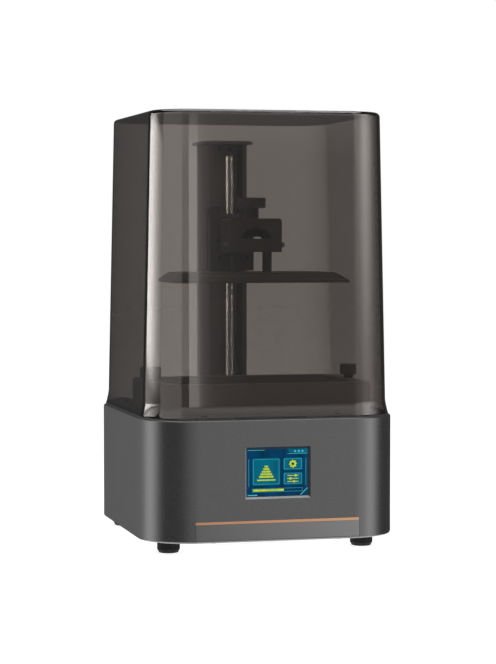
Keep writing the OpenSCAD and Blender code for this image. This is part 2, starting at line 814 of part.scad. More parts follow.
base_shell();
bottom_plate();
rubber_feet();
foot_screws();
plate_screws();
top_deck();
deck_screws();
protective_glass();
mask_lcd();
light_housing();
lens_plate();
led_board();
led_array();
heatsink();
fan_frame();
fan_rotor();
mainboard();
board_parts();
board_standoffs();
power_inlet();
switch_housing();
power_rocker();
usb_port();
screen_bezel();
touch_panel();
display_module();
strip_plate();
accent_line();
z_column();
column_cap();
column_foot();
column_bolts();
guide_rail();
rail_screws();
guide_block();
z_motor();
motor_standoffs();
shaft_coupler();
lead_screw();
lead_nut();
carriage();
carriage_screws();
limit_sensor();
sensor_flag();
platform_arm();
levelling_ball();
clamp_block();
platform_mount();
side_screws();
platform_posts();
build_platform();
clamp_knob();
vat_frame();
vat_film();
film_ring();
ring_screws();
vat_knob_left();
vat_knob_right();
hood_shell();
hood_seal();
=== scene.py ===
import bmesh
import bpy
import json
import math
from mathutils import Matrix, Vector

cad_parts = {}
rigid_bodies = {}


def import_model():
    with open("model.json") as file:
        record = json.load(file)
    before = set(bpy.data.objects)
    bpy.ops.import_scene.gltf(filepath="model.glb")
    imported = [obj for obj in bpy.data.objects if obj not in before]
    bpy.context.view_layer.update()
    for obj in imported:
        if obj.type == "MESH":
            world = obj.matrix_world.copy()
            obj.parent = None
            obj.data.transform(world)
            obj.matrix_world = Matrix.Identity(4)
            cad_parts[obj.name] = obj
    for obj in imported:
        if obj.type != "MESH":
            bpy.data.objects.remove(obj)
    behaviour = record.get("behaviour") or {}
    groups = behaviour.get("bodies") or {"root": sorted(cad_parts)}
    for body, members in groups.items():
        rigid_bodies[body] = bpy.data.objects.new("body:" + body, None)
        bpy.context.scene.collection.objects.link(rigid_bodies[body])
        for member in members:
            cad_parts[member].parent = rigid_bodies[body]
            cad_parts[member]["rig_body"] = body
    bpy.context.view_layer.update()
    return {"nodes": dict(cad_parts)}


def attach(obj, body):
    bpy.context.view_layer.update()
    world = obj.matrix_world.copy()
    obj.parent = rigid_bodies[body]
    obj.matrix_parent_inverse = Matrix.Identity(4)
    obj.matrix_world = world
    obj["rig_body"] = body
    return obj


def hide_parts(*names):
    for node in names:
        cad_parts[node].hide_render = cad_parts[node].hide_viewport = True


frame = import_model()
nodes = frame["nodes"]
mm = 0.001      # the frame is in metres
print("frame loaded:", len(nodes), "solids")

cameraSettings = {
    "azimuth": 0.2531,      # radians to the left of straight on
    "pitch": 0.0458103,     # radians downwards
    "distance": 1.945175,   # from the machine's middle line, along the floor
    "height": 0.276703,
    "lens": 115.335,
    "sensor": 36,
    "clip": (0.05, 50),
    "shiftX": 0.007614,
}


def makeCamera(values):
    data = bpy.data.cameras.new("camera")
    data.lens = values["lens"]
    data.sensor_width = values["sensor"]
    data.shift_x = values["shiftX"]
    data.clip_start, data.clip_end = values["clip"]
    camera = bpy.data.objects.new("camera", data)
    azimuth, distance = values["azimuth"], values["distance"]
    camera.location = (-math.sin(azimuth) * distance, -math.cos(azimuth) * distance, values["height"])
    camera.rotation_euler = (math.pi / 2 - values["pitch"], 0, -azimuth)
    bpy.context.scene.collection.objects.link(camera)
    bpy.context.scene.camera = camera


stageSettings = {
    "floorHalf": 6.0,
    "floorColor": (0.55, 0.55, 0.55, 1),
    "floorRoughness": 0.9,
    "floorSpecular": 0.1,
    "floorGlow": 0.73,      # lifts the floor to white where nothing shades it
    "roomLevel": 0.5,       # how strongly the room lights the machine
    "mirrorLevel": 0.08,    # how bright the room is in reflections, beside the soft boxes
    "innerLevel": 0.16,     # and in reflections under the hood
    "seenLevel": 1.0,       # and behind the machine
    # light from above: place, size across and up, brightness, point it faces
    "lamps": {
        "topPanel": ((-0.1, 0.1, 2.3), (2.0, 2.0), 1.2, (0, 0, 0.2)),
        "frontTop": ((0, -1.8, 2.2), (3.0, 0.9), 1.6, (0, 0, 0.2)),
    },
}

# Soft boxes that only the gloss shows. Each has marks of degrees (from behind towards the left) and brightness.
# The second row, where it isn't empty, gives heights and the share of the brightness there. A box that stands
# apart from the others ends with its own distance.
softBoxes = {
    "distance": 2.0,
    "step": 0.005,          # each box stands this much behind the last, so that none cuts another
    "bottom": -0.9,
    "top": 1.9,
    "warmth": {"hood": (1, 0.94, 0.91), "case": (1, 1, 1), "bright": (1, 0.96, 0.93)},
    "hood": {
        "left": ([(37.4, 6.2), (53.4, 8.2), (61.4, 8.2), (69.4, 6.4), (77.4, 4.4), (85.4, 2.7), (93.4, 1.7)],
                 [(-0.14, 0.2), (-0.11, 0.4), (-0.078, 0.65), (-0.036, 0.85), (0.03, 1), (0.84, 1), (0.9, 0.2),
                  (1, 0.28), (1.17, 0.42), (1.3, 0.65)], 6.0),
        "leftFront": ([(96, 1.7), (105, 1.55), (149.5, 1.5)], [(0.57, 1), (0.75, 1.5), (1.9, 1.5)]),
        "gap": ([(149.5, 0.32), (166.5, 0.32)], [(0.5, 1), (0.62, 0)]),
        "frontEdge": ([(166.5, 3.2), (186, 3.2), (190.4, 2.5), (190.7, 1.7), (190.95, 1.0), (191.3, 0.6), (192, 0.42),
                       (193.5, 0.32)], [(0.5, 1), (0.62, 0)]),
        "front": ([(193.5, 0.32), (215, 0.32)], [(0.5, 1), (0.62, 0)]),
        "overFront": ([(149.5, 1.7), (215, 1.7)], [(0.5, 0), (0.62, 0.6), (0.72, 1), (0.9, 0.75)]),
        "right": ([(202, 0), (217, 2.4), (225, 4.4), (233, 5.8), (240, 5.5), (248, 4.1), (256, 2.4), (263, 1.1),
                   (271, 0.4), (279, 0)], [(0.1, 0.3), (0.5, 0.95)]),
    },
    "case": {
        "left": ([(7, 0), (10, 0.05), (16, 0.25), (32, 0.32), (48, 0.55), (60, 1.05), (70, 1.85), (80, 2.1),
                  (90, 1.3), (100, 0.45), (108, 0.05)], []),
        "front": ([(150, 0.05), (156, 0.12), (171, 0.4), (187, 0.58), (198, 0.68), (212, 0.85), (220, 0.9)], []),
        "right": ([(214, 0), (222, 0.8), (233, 2.1), (244, 1.5), (256, 0.45), (266, 0)], []),
    },
    "bright": {     # seen by the lead screw and the rail, through the hood too
        "left": ([(62, 0), (74, 13), (92, 13), (98, 7), (110, 7), (116, 0)], []),
        "right": ([(220, 0), (231, 13), (245, 13), (256, 7), (288, 7), (294, 0)], []),
    },
    # the raised and the low box: place, size, point it faces; the raised one's brightness goes by what it serves
    "raisedBox": ((0, 0, 2.3), (2.6, 2.6), (0, 0, 0.2)),
    "raised": {"hood": 4.0, "case": 1.5, "bright": 1.5},
    "lowBox": ((0, 0, -1), (3, 3), (0, 0, 0)),
    "low": 2.5,
}


def addMath(tree, operation, first, second):
    node = tree.nodes.new("ShaderNodeMath")
    node.operation = operation
    for index, value in enumerate((first, second)):
        if isinstance(value, (int, float)):
            node.inputs[index].default_value = value
        else:
            tree.links.new(value, node.inputs[index])
    return node.outputs[0]


def seenLevel(tree, light, mirror, inner, seen):
    # light falls on the machine, mirror and inner show in reflections, seen is for the camera and through glass
    path = tree.nodes.new("ShaderNodeLightPath")
    direct = addMath(tree, "MAXIMUM", path.outputs["Is Camera Ray"], path.outputs["Is Transmission Ray"])
    mirrored = addMath(tree, "GREATER_THAN", path.outputs["Glossy Depth"], 0.5)
    clear = addMath(tree, "MULTIPLY", direct, addMath(tree, "SUBTRACT", 1, mirrored))
    base = addMath(tree, "ADD", addMath(tree, "MULTIPLY", mirrored, mirror - light), light)
    under = addMath(tree, "GREATER_THAN", path.outputs["Transmission Depth"], 0.5)
    both = addMath(tree, "MULTIPLY", addMath(tree, "MULTIPLY", under, mirrored), inner - mirror)
    base = addMath(tree, "ADD", base, both)
    lift = addMath(tree, "MULTIPLY", addMath(tree, "SUBTRACT", seen, base), clear)
    return addMath(tree, "ADD", base, lift)


def makeStage(values):
    half = values["floorHalf"]
    bm = bmesh.new()
    bmesh.ops.create_grid(bm, x_segments=1, y_segments=1, size=half)
    mesh = bpy.data.meshes.new("floor")
    bm.to_mesh(mesh)
    bm.free()
    floor = bpy.data.objects.new("floor", mesh)
    bpy.context.scene.collection.objects.link(floor)
    floor.visible_glossy = False
    material = bpy.data.materials.new("floorWhite")
    material.use_nodes = True
    tree = material.node_tree
    shader = tree.nodes["Principled BSDF"]
    shader.inputs["Base Color"].default_value = values["floorColor"]
    shader.inputs["Roughness"].default_value = values["floorRoughness"]
    shader.inputs["Specular IOR Level"].default_value = values["floorSpecular"]
    shader.inputs["Emission Color"].default_value = (1, 1, 1, 1)
    tree.links.new(seenLevel(tree, 0, 0, 0, values["floorGlow"]), shader.inputs["Emission Strength"])
    mesh.materials.append(material)

    world = bpy.data.worlds.new("room")
    world.use_nodes = True
    bpy.context.scene.world = world
    tree = world.node_tree
    background = tree.nodes["Background"]
    background.inputs["Color"].default_value = (1, 1, 1, 1)
    level = seenLevel(tree, values["roomLevel"], values["mirrorLevel"], values["innerLevel"], values["seenLevel"])
    tree.links.new(level, background.inputs["Strength"])

    for name, (place, size, brightness, target) in values["lamps"].items():
        lamp = makeLamp(name, place, size, brightness, target)
        lamp.visible_glossy = False
    bpy.context.scene.view_settings.view_transform = "Standard"


def makeLamp(name, place, size, brightness, target):
    data = bpy.data.lights.new(name, "AREA")
    data.shape = "RECTANGLE"
    data.size, data.size_y = size
    data.energy = brightness * math.pi * size[0] * size[1]
    lamp = bpy.data.objects.new(name, data)
    lamp.location = place
    lamp.rotation_mode = "QUATERNION"
    lamp.rotation_quaternion = (Vector(target) - Vector(place)).to_track_quat("-Z", "Y")
    lamp.visible_camera = lamp.visible_transmission = False
    bpy.context.scene.collection.objects.link(lamp)
    return lamp


def levelRamp(tree, source, marks):
    peak = max(level for place, level in marks)
    ramp = tree.nodes.new("ShaderNodeValToRGB")
    tree.links.new(source, ramp.inputs["Fac"])
    stops = ramp.color_ramp.elements
    for stop, (place, level) in zip((stops[0], stops[1]), (marks[0], marks[-1])):
        stop.position = place
        stop.color = (level / peak, level / peak, level / peak, 1)
    for place, level in marks[1:-1]:
        stops.new(place).color = (level / peak, level / peak, level / peak, 1)
    return addMath(tree, "MULTIPLY", ramp.outputs["Color"], peak)


def makeSoftBox(name, across, up, distance, values, receivers):
    bottom, top = values["bottom"], values["top"]
    middle = (bottom + top) / 2
    turn = math.radians((across[0][0] + across[-1][0]) / 2)
    width = 2 * distance * math.tan(math.radians(across[-1][0]) - turn)
    place = (-math.sin(turn) * distance, math.cos(turn) * distance, middle)
    lamp = makeLamp(name, place, (width, top - bottom), 1, (0, 0, middle))
    lamp.visible_diffuse = False
    lamp.light_linking.receiver_collection = receivers
    lamp.data.use_nodes = True
    tree = lamp.data.node_tree
    spot = tree.nodes.new("ShaderNodeSeparateXYZ")
    tree.links.new(tree.nodes.new("ShaderNodeNewGeometry").outputs["Parametric"], spot.inputs[0])
    marks = [(0.5 + distance * math.tan(math.radians(angle) - turn) / width, level) for angle, level in across]
    strength = levelRamp(tree, spot.outputs["X"], marks)
    if up:
        rise = [((height - bottom) / (top - bottom), share) for height, share in up]
        strength = addMath(tree, "MULTIPLY", strength, levelRamp(tree, spot.outputs["Y"], rise))
    tree.links.new(strength, tree.nodes["Emission"].inputs["Strength"])
    return lamp


def makeFlatBox(name, box, brightness, receivers):
    place, size, target = box
    lamp = makeLamp(name, place, size, brightness, target)
    lamp.visible_diffuse = False
    lamp.light_linking.receiver_collection = receivers


def makeSoftBoxes(values, receivers):
    for serves in receivers:
        for index, (name, (across, up, *away)) in enumerate(values[serves].items()):
            distance = away[0] if away else values["distance"] + values["step"] * index
            boxName = serves + name.title() + "Box"
            lamp = makeSoftBox(boxName, across, up, distance, values, receivers[serves])
            lamp.data.cycles.use_multiple_importance_sampling = serves != "bright"
            lamp.data.color = values["warmth"][serves]
        makeFlatBox(serves + "RaisedBox", values["raisedBox"], values["raised"][serves], receivers[serves])
    makeFlatBox("lowBox", values["lowBox"], values["low"], receivers["case"])    # what the floor sends up


boxReceivers = {name: bpy.data.collections.new(name + "Receivers") for name in ("hood", "case", "bright")}
makeSoftBoxes(softBoxes, boxReceivers)
makeCamera(cameraSettings)
makeStage(stageSettings)
print("camera, floor and lamps ready")


def newGroup(name, inputs, outputs):
    group = bpy.data.node_groups.new(name, "ShaderNodeTree")
    for socketName, default in inputs:
        socket = group.interface.new_socket(socketName, in_out="INPUT", socket_type="NodeSocketFloat")
        socket.default_value = default
    for socketName in outputs:
        group.interface.new_socket(socketName, in_out="OUTPUT", socket_type="NodeSocketFloat")
    start = group.nodes.new("NodeGroupInput")
    end = group.nodes.new("NodeGroupOutput")
    return group, start, end


def noiseNode(tree, vector, scale, detail, roughness=0.5):
    noise = tree.nodes.new("ShaderNodeTexNoise")
    noise.inputs["Detail"].default_value = detail
    noise.inputs["Roughness"].default_value = roughness
    tree.links.new(vector, noise.inputs["Vector"])
    if isinstance(scale, (int, float)):
        noise.inputs["Scale"].default_value = scale
    else:
        tree.links.new(scale, noise.inputs["Scale"])
    return noise.outputs["Fac"]


effectSettings = {
    "grainDetail": 3, "grainRoughness": 0.6,
    "driftScale": 9, "driftDetail": 2,
    "brushDetail": 3, "brushRoughness": 0.65, "brushScale": 900,
    "shadeRange": (0.3, 0.7),       # the part of an effect that a finish spreads over its colours
    "glowRange": (0.35, 0.65),
    "coatRoughness": 0.1,
}


def makeGrainGroup(values):
    # fine orange-peel grain of powder coat and moulded plastic, with slow drifts in shade
    group, start, end = newGroup("fineGrain", [("Scale", 1500), ("Drift", 0.3)], ["Shade", "Height"])
    place = group.nodes.new("ShaderNodeTexCoord").outputs["Object"]
    fine = noiseNode(group, place, start.outputs["Scale"], values["grainDetail"], values["grainRoughness"])
    slow = noiseNode(group, place, values["driftScale"], values["driftDetail"])
    drift = addMath(group, "MULTIPLY", addMath(group, "SUBTRACT", slow, 0.5), start.outputs["Drift"])
    group.links.new(addMath(group, "ADD", fine, drift), end.inputs["Shade"])
    group.links.new(fine, end.inputs["Height"])
    return group


def makeBrushGroup(values):
    # long fine lines left by grinding or brushing, along one direction
    sockets = [("Across X", 1), ("Across Y", 1), ("Across Z", 1), ("Scale", values["brushScale"])]
    group, start, end = newGroup("brushLines", sockets, ["Shade", "Height"])
    place = group.nodes.new("ShaderNodeTexCoord").outputs["Object"]
    stretch = group.nodes.new("ShaderNodeCombineXYZ")
    for axis in "XYZ":
        group.links.new(start.outputs["Across " + axis], stretch.inputs[axis])
    scaled = group.nodes.new("ShaderNodeVectorMath")
    scaled.operation = "MULTIPLY"
    group.links.new(place, scaled.inputs[0])
    group.links.new(stretch.outputs[0], scaled.inputs[1])
    lines = noiseNode(group, scaled.outputs[0], start.outputs["Scale"], values["brushDetail"],
                      values["brushRoughness"])
    group.links.new(lines, end.inputs["Shade"])
    group.links.new(lines, end.inputs["Height"])
    return group


grainGroup = makeGrainGroup(effectSettings)
brushGroup = makeBrushGroup(effectSettings)

finishes = {}


def newMaterial(name):
    material = finishes[name] = bpy.data.materials.new(name)
    material.use_nodes = True
    return material.node_tree, material.node_tree.nodes["Principled BSDF"]


def addEffect(tree, group, values):
    effect = tree.nodes.new("ShaderNodeGroup")
    effect.node_tree = group
    for socketName, value in values.items():
        effect.inputs[socketName].default_value = value
    return effect


def addColorRamp(tree, source, places, colors):
    ramp = tree.nodes.new("ShaderNodeValToRGB")
    for stop, place, color in zip(ramp.color_ramp.elements, places, colors):
        stop.position, stop.color = place, tuple(color) + (1,)
    tree.links.new(source, ramp.inputs["Fac"])
    return ramp.outputs["Color"]


def makeFinish(name, color, roughness, metallic=0.0, grain=None, brush=None, colorSpread=0.25, roughSpread=0.12,
               bump=0.005, coat=0.0, specular=0.5):
    # shade, roughness and relief follow one of the shared effects: grain, or the lines of a brush
    tree, shader = newMaterial(name)
    shader.inputs["Metallic"].default_value = metallic
    shader.inputs["Coat Weight"].default_value = coat
    shader.inputs["Coat Roughness"].default_value = effectSettings["coatRoughness"]
    shader.inputs["Specular IOR Level"].default_value = specular
    if grain:
        effect = addEffect(tree, grainGroup, {"Scale": grain[0], "Drift": grain[1]})
    else:
        effect = addEffect(tree, brushGroup, {**brush, "Scale": effectSettings["brushScale"]})
    places = effectSettings["shadeRange"]
    colors = [[min(1, part * (1 + spread)) for part in color] for spread in (-colorSpread, colorSpread)]
    tree.links.new(addColorRamp(tree, effect.outputs["Shade"], places, colors), shader.inputs["Base Color"])
    rough = tree.nodes.new("ShaderNodeMapRange")
    rough.inputs["From Min"].default_value, rough.inputs["From Max"].default_value = places
    rough.inputs["To Min"].default_value = max(0.02, roughness - roughSpread)
    rough.inputs["To Max"].default_value = min(1, roughness + roughSpread)
    tree.links.new(effect.outputs["Shade"], rough.inputs["Value"])
    tree.links.new(rough.outputs[0], shader.inputs["Roughness"])
    relief = tree.nodes.new("ShaderNodeBump")
    relief.inputs["Distance"].default_value = bump * mm
    relief.inputs["Strength"].default_value = 1.0
    tree.links.new(effect.outputs["Height"], relief.inputs["Height"])
    tree.links.new(relief.outputs["Normal"], shader.inputs["Normal"])


# which way the lines of a brush run
alongZ = {"Across X": 1, "Across Y": 1, "Across Z": 0.02}
alongX = {"Across X": 0.02, "Across Y": 1, "Across Z": 1}
alongY = {"Across X": 1, "Across Y": 0.02, "Across Z": 1}

# grain is scale and drift, bump is in millimetres
surfaceFinishes = {
    "casePowder": {"color": (0.14, 0.14, 0.142), "roughness": 0.28, "metallic": 0.75, "grain": (1900, 0.25),
                   "colorSpread": 0.05, "roughSpread": 0.04, "bump": 0.003},
    "deckPaint": {"color": (0.09, 0.078, 0.072), "roughness": 0.45, "metallic": 0.2, "grain": (1700, 0.25),
                  "colorSpread": 0.08, "roughSpread": 0.05},
    "stripPaint": {"color": (0.118, 0.118, 0.118), "roughness": 0.45, "grain": (1300, 0.3), "colorSpread": 0.05,
                   "roughSpread": 0.05},
    "accentOrange": {"color": (0.45, 0.23, 0.125), "roughness": 0.4, "grain": (1300, 0.2), "colorSpread": 0.06,
                     "roughSpread": 0.05},
    # painted highlight: a light grey for bevels on the side that faces the light
    "paintedBevelHighlight": {"color": (0.6, 0.6, 0.6), "roughness": 0.35, "metallic": 0.2, "grain": (1300, 0.3),
                   "colorSpread": 0.05, "roughSpread": 0.05},
    "sealGrey": {"color": (0.075, 0.068, 0.064), "roughness": 0.6, "grain": (900, 0.4), "bump": 0.01},
    "rubberBlack": {"color": (0.016, 0.016, 0.016), "roughness": 0.7, "grain": (900, 0.6), "bump": 0.01,
                    "specular": 0.2},
    "plasticBlack": {"color": (0.022, 0.022, 0.023), "roughness": 0.45, "grain": (1100, 0.4)},
    "knobBlack": {"color": (0.06, 0.05, 0.045), "roughness": 0.45, "grain": (1500, 0.5), "colorSpread": 0.1},
    "anodisedDark": {"color": (0.105, 0.085, 0.077), "roughness": 0.42, "metallic": 0.1, "brush": alongZ,
                     "colorSpread": 0.08, "roughSpread": 0.05, "bump": 0.002},
    "anodisedBlack": {"color": (0.055, 0.043, 0.038), "roughness": 0.38, "metallic": 0.1, "grain": (2200, 0.4),
                      "colorSpread": 0.08, "roughSpread": 0.05},
    "platformMetal": {"color": (0.075, 0.06, 0.054), "roughness": 0.38, "metallic": 0.2, "brush": alongY,
                      "colorSpread": 0.1, "roughSpread": 0.05, "bump": 0.004},
    "vatMetal": {"color": (0.2, 0.17, 0.158), "roughness": 0.42, "metallic": 0.2, "grain": (2000, 0.4),
                 "colorSpread": 0.03, "roughSpread": 0.02, "bump": 0.001},
    "screwSteel": {"color": (0.8, 0.77, 0.74), "roughness": 0.2, "metallic": 1.0, "grain": (2500, 0.3),
                   "colorSpread": 0.06, "roughSpread": 0.03, "bump": 0.0},
    "groundSteel": {"color": (0.62, 0.6, 0.58), "roughness": 0.24, "metallic": 1.0, "brush": alongZ,
                    "colorSpread": 0.12, "bump": 0.01},
    "turnedSteel": {"color": (0.55, 0.54, 0.53), "roughness": 0.28, "metallic": 1.0, "grain": (1500, 0.5)},
    "sheetSteel": {"color": (0.5, 0.51, 0.52), "roughness": 0.36, "metallic": 1.0, "brush": alongX,
                   "colorSpread": 0.12, "bump": 0.01},
    "bareAluminium": {"color": (0.68, 0.69, 0.7), "roughness": 0.33, "metallic": 1.0, "brush": alongX,
                      "colorSpread": 0.1, "bump": 0.01},
    "blackSteel": {"color": (0.035, 0.035, 0.036), "roughness": 0.35, "metallic": 0.8, "grain": (1500, 0.6)},
    "brassTurned": {"color": (0.6, 0.43, 0.19), "roughness": 0.28, "metallic": 1.0, "grain": (1200, 0.6)},
    "motorBlack": {"color": (0.025, 0.025, 0.026), "roughness": 0.4, "metallic": 0.3, "grain": (1600, 0.4)},
    "boardGreen": {"color": (0.02, 0.12, 0.06), "roughness": 0.35, "grain": (500, 0.8), "coat": 0.3},
    "boardWhite": {"color": (0.75, 0.75, 0.73), "roughness": 0.4, "grain": (500, 0.4), "colorSpread": 0.05},
    "ledYellow": {"color": (0.85, 0.72, 0.3), "roughness": 0.3, "grain": (900, 0.4), "colorSpread": 0.1},
    "rockerRed": {"color": (0.5, 0.02, 0.015), "roughness": 0.3, "grain": (900, 0.4), "coat": 0.4},
    "nutPlastic": {"color": (0.1, 0.09, 0.085), "roughness": 0.35, "grain": (1200, 0.4), "colorSpread": 0.06},
    "glossBlack": {"color": (0.008, 0.009, 0.01), "roughness": 0.08, "grain": (40, 0.4), "roughSpread": 0.03,
                   "bump": 0.0, "coat": 1.0},
}
for name, values in surfaceFinishes.items():
    makeFinish(name, **values)

# gain in brightness from the strip's left end to its right end, as under a lamp on the right
stripShading = {"from": -70 * mm, "to": 70 * mm, "gain": {"stripPaint": (1.25, 2.6), "accentOrange": (1.6, 2.3)}}


def lightenAlong(name, gain, values):
    tree = finishes[name].node_tree
    shader = tree.nodes["Principled BSDF"]
    color = shader.inputs["Base Color"].links[0].from_socket
    place = tree.nodes.new("ShaderNodeSeparateXYZ")
    tree.links.new(tree.nodes.new("ShaderNodeTexCoord").outputs["Object"], place.inputs[0])
    level = tree.nodes.new("ShaderNodeMapRange")
    level.inputs["From Min"].default_value = values["from"]
    level.inputs["From Max"].default_value = values["to"]
    level.inputs["To Min"].default_value, level.inputs["To Max"].default_value = gain
    tree.links.new(place.outputs["X"], level.inputs["Value"])
    scaled = tree.nodes.new("ShaderNodeVectorMath")
    scaled.operation = "SCALE"
    tree.links.new(color, scaled.inputs[0])
    tree.links.new(level.outputs[0], scaled.inputs["Scale"])
    tree.links.new(scaled.outputs[0], shader.inputs["Base Color"])


for name, gain in stripShading["gain"].items():
    lightenAlong(name, gain, stripShading)

hoodFinish = {
    "through": (0.172, 0.12, 0.084),    # absorption colour: a little warmer than grey
    "density": 486.0,                   # per metre of wall
    "ior": 1.49,
    "roughness": 0.012,
}


def makeClearFinish(name, color, ior, roughness):
    tree, shader = newMaterial(name)
    shader.inputs["Base Color"].default_value = color + (1,)
    shader.inputs["Transmission Weight"].default_value = 1.0
    shader.inputs["IOR"].default_value = ior
    shader.inputs["Roughness"].default_value = roughness
    return tree


def makeHoodFinish(values):
    tree = makeClearFinish("smokedAcrylic", (1, 1, 1), values["ior"], values["roughness"])
    absorb = tree.nodes.new("ShaderNodeVolumeAbsorption")
    absorb.inputs["Color"].default_value = values["through"] + (1,)
    absorb.inputs["Density"].default_value = values["density"]
    tree.links.new(absorb.outputs[0], tree.nodes["Material Output"].inputs["Volume"])


# lit areas of the display: each glow drifts between two colours, in streaks of the given scale
glowFinishes = {
    "front": {"color": (0, 0.002, 0.004, 1), "roughness": 0.3, "specular": 0.05, "streaks": 0.12},
    "glows": {
        "pictureBlue": ((0.0, 0.03, 0.075), (0.0, 0.047, 0.125), 120),
        "pictureTeal": ((0.0, 0.1, 0.165), (0.0, 0.14, 0.215), 160),
        "pictureCyan": ((0.05, 0.4, 0.46), (0.1, 0.55, 0.62), 90),
        "pictureLime": ((0.42, 0.55, 0.02), (0.6, 0.72, 0.03), 200),
    },
}


def makeGlowFinish(name, low, high, scale, front):
    tree, shader = newMaterial(name)
    shader.inputs["Base Color"].default_value = front["color"]
    shader.inputs["Roughness"].default_value = front["roughness"]
    shader.inputs["Specular IOR Level"].default_value = front["specular"]
    shader.inputs["Emission Strength"].default_value = 1.0
    streaks = {"Across X": 1, "Across Y": 1, "Across Z": front["streaks"], "Scale": scale}
    shade = addEffect(tree, brushGroup, streaks).outputs["Shade"]
    glow = addColorRamp(tree, shade, effectSettings["glowRange"], (low, high))
    tree.links.new(glow, shader.inputs["Emission Color"])


for name, (low, high, scale) in glowFinishes["glows"].items():
    makeGlowFinish(name, low, high, scale, glowFinishes["front"])
makeHoodFinish(hoodFinish)

clearFinishes = {       # colour, index of refraction, roughness
    "clearFilm": ((0.92, 0.94, 0.96), 1.34, 0.03),
    "clearLens": ((0.95, 0.97, 0.98), 1.49, 0.02),
    "darkGlass": ((0.12, 0.14, 0.16), 1.5, 0.01),
}
for name, values in clearFinishes.items():
    makeClearFinish(name, *values)
print("finishes ready:", len(finishes))


def markEdges(bm, limit):
    for face in bm.faces:
        face.smooth = True
    for edge in bm.edges:
        edge.smooth = not (edge.is_manifold and edge.calc_face_angle(0) > math.radians(limit))


def newPiece(name, bm, body, finishName, replaced=(), limit=32, weighted=True):
    markEdges(bm, limit)
    mesh = bpy.data.meshes.new(name)
    bm.to_mesh(mesh)
    bm.free()
    piece = bpy.data.objects.new(name, mesh)
    bpy.context.scene.collection.objects.link(piece)
    for item in [finishName] if isinstance(finishName, str) else finishName:
        mesh.materials.append(finishes[item])
    if weighted:
        normals = piece.modifiers.new("evenShading", "WEIGHTED_NORMAL")
        normals.keep_sharp = True
    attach(piece, body)
    if replaced:
        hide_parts(*replaced)
    return piece


def breakEdges(bm, width, sharpest):
    # every edge sharper than this angle gets a small bevel
    sharp = [e for e in bm.edges if e.is_manifold and e.calc_face_angle(0) > sharpest]
    bmesh.ops.bevel(bm, geom=sharp, offset=width, offset_type="OFFSET", affect="EDGES", segments=2, profile=0.5,
                    material=-1, clamp_overlap=True)


def closeRim(bm, level, near=0.005 * mm):
    # fills the open edge that lies at this height
    rim = [e for e in bm.edges if e.is_boundary and all(abs(v.co.z - level) < near for v in e.verts)]
    bmesh.ops.edgeloop_fill(bm, edges=rim)


nodeFinishes = {
    "casePowder": ["base_shell"],
    "deckPaint": ["top_deck", "column_foot"],
    "stripPaint": ["strip_plate"],
    "accentOrange": ["accent_line"],
    "rubberBlack": ["rubber_feet"],
    "sealGrey": ["hood_seal"],
    "plasticBlack": ["light_housing", "fan_frame", "fan_rotor", "board_parts", "power_inlet", "switch_housing",
                     "screen_bezel", "limit_sensor"],
    "knobBlack": ["clamp_knob", "vat_knob_left", "vat_knob_right"],
    "anodisedDark": ["z_column", "column_cap", "guide_rail"],
    "anodisedBlack": ["carriage", "platform_arm", "clamp_block", "platform_mount", "platform_posts"],
    "platformMetal": ["build_platform"],
    "vatMetal": ["vat_frame"],
    "screwSteel": ["lead_screw"],
    "turnedSteel": ["foot_screws", "side_screws"],
    "sheetSteel": ["bottom_plate", "sensor_flag", "usb_port"],
    "bareAluminium": ["heatsink", "motor_standoffs", "shaft_coupler", "film_ring"],
    "blackSteel": ["plate_screws", "rail_screws", "carriage_screws", "deck_screws", "column_bolts", "ring_screws",
                   "levelling_ball", "guide_block"],
    "brassTurned": ["board_standoffs"],
    "nutPlastic": ["lead_nut"],
    "motorBlack": ["z_motor"],
    "boardGreen": ["mainboard", "display_module"],
    "boardWhite": ["led_board"],
    "ledYellow": ["led_array"],
    "rockerRed": ["power_rocker"],
    "glossBlack": ["mask_lcd", "touch_panel"],
    "smokedAcrylic": ["hood_shell"],
    "clearFilm": ["vat_film"],
    "clearLens": ["lens_plate"],
    "darkGlass": ["protective_glass"],
}
solidFinish = {member: name for name, members in nodeFinishes.items() for member in members}
for member, name in solidFinish.items():
    slots = nodes[member].data.materials
    slots.clear()
    slots.append(finishes[name])
print("solids painted")


def sweepRound(bm, profile, half, steps):
    # sweeps a profile of (offset from the corner centres, z) once round a rounded rectangle
    cornerX, cornerY = half
    verts = [bm.verts.new((cornerX + x, cornerY, z)) for x, z in profile]
    line = [bm.edges.new(pair) for pair in zip(verts, verts[1:])]
    geom = verts + line
    moves = [((cornerX, cornerY), (-2 * cornerX, 0)), ((-cornerX, cornerY), (0, -2 * cornerY)),
             ((-cornerX, -cornerY), (2 * cornerX, 0)), ((cornerX, -cornerY), (0, 2 * cornerY))]
    for (x, y), (dx, dy) in moves:
        turned = bmesh.ops.spin(bm, geom=geom, cent=(x, y, 0), axis=(0, 0, 1), dvec=(0, 0, 0),
                                angle=math.pi / 2, steps=steps, use_merge=False)["geom_last"]
        edges = [g for g in turned if isinstance(g, bmesh.types.BMEdge)]
        drawn = bmesh.ops.extrude_edge_only(bm, edges=edges)["geom"]
        moved = [g for g in drawn if isinstance(g, bmesh.types.BMVert)]
        bmesh.ops.translate(bm, verts=moved, vec=(dx, dy, 0))
        geom = moved + [g for g in drawn
                        if isinstance(g, bmesh.types.BMEdge) and all(v in moved for v in g.verts)]
    bmesh.ops.remove_doubles(bm, verts=bm.verts, dist=0.01 * mm)


def arcPoints(x, z, radius, start, end, steps):
    angles = [math.radians(start + (end - start) * i / steps) for i in range(steps + 1)]
    return [(x + radius * math.cos(angle), z + radius * math.sin(angle)) for angle in angles]


def betweenPoints(first, last, steps):
    # the points that divide a straight line, without its ends
    return [tuple(a + (b - a) * i / steps for a, b in zip(first, last)) for i in range(1, steps)]


